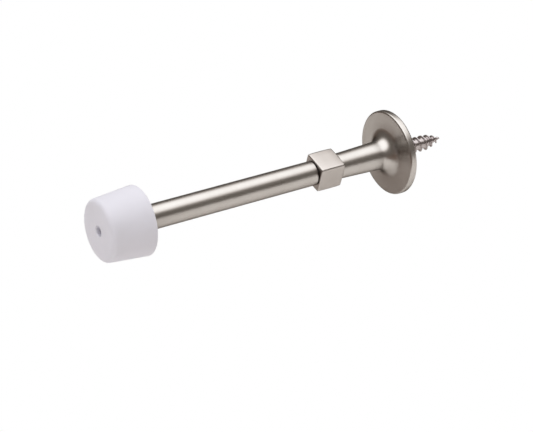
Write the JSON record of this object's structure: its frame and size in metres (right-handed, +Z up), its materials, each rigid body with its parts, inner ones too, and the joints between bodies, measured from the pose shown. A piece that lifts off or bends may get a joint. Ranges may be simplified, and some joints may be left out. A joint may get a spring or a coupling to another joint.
{
  "type": "door stop",
  "caption": "Rigid wall door stop: round flange with a flared neck and wood screw, square lock nut, straight tube and a tapered rubber bumper.",
  "frame": {"origin": "centre of the flange's back face, in the plane of the wall", "axes": "-Y out of the wall along the stop to its bumper, +Y along the wood screw into the wall, +Z up, +X to the right as seen from the bumper"},
  "size_m": [0.0324, 0.1495, 0.0324],
  "materials": {
    "satin_nickel": "satin nickel plate on a zinc casting",
    "tube_nickel": "satin nickel plate on drawn steel tube",
    "nut_nickel": "satin nickel plate",
    "screw_steel": "zinc plated, rolled thread",
    "stud_steel": "zinc plated, turned",
    "white_rubber": "matte moulded"
  },
  "bodies": {
    "base": {"base_flange": "satin_nickel", "mounting_screw": "screw_steel"},
    "lock_nut": {"lock_nut": "nut_nickel"},
    "stud": {"adjusting_stud": "stud_steel"},
    "rod": {"front_tube": "tube_nickel", "tube_rear_insert": "stud_steel", "nose_plug": "stud_steel", "rubber_bumper": "white_rubber"}
  },
  "joints": [
    {"name": "tube_travel", "type": "slide", "parent": "base", "child": "stud", "axis": [0, -1, 0], "range_m": [0, 0.012]},
    {"name": "tube_turn", "type": "hinge", "parent": "stud", "child": "rod", "pos_m": [0, -0.0367, 0], "axis": [0, -1, 0], "range_deg": [0, 5400]},
    {"name": "lock_nut_turn", "type": "hinge", "parent": "base", "child": "lock_nut", "pos_m": [0, -0.0312, 0], "axis": [0, -1, 0], "continuous": true}
  ],
  "couplings": [
    {"joint": "tube_turn", "follows": "tube_travel", "rad_per_m": 7854}
  ]
}
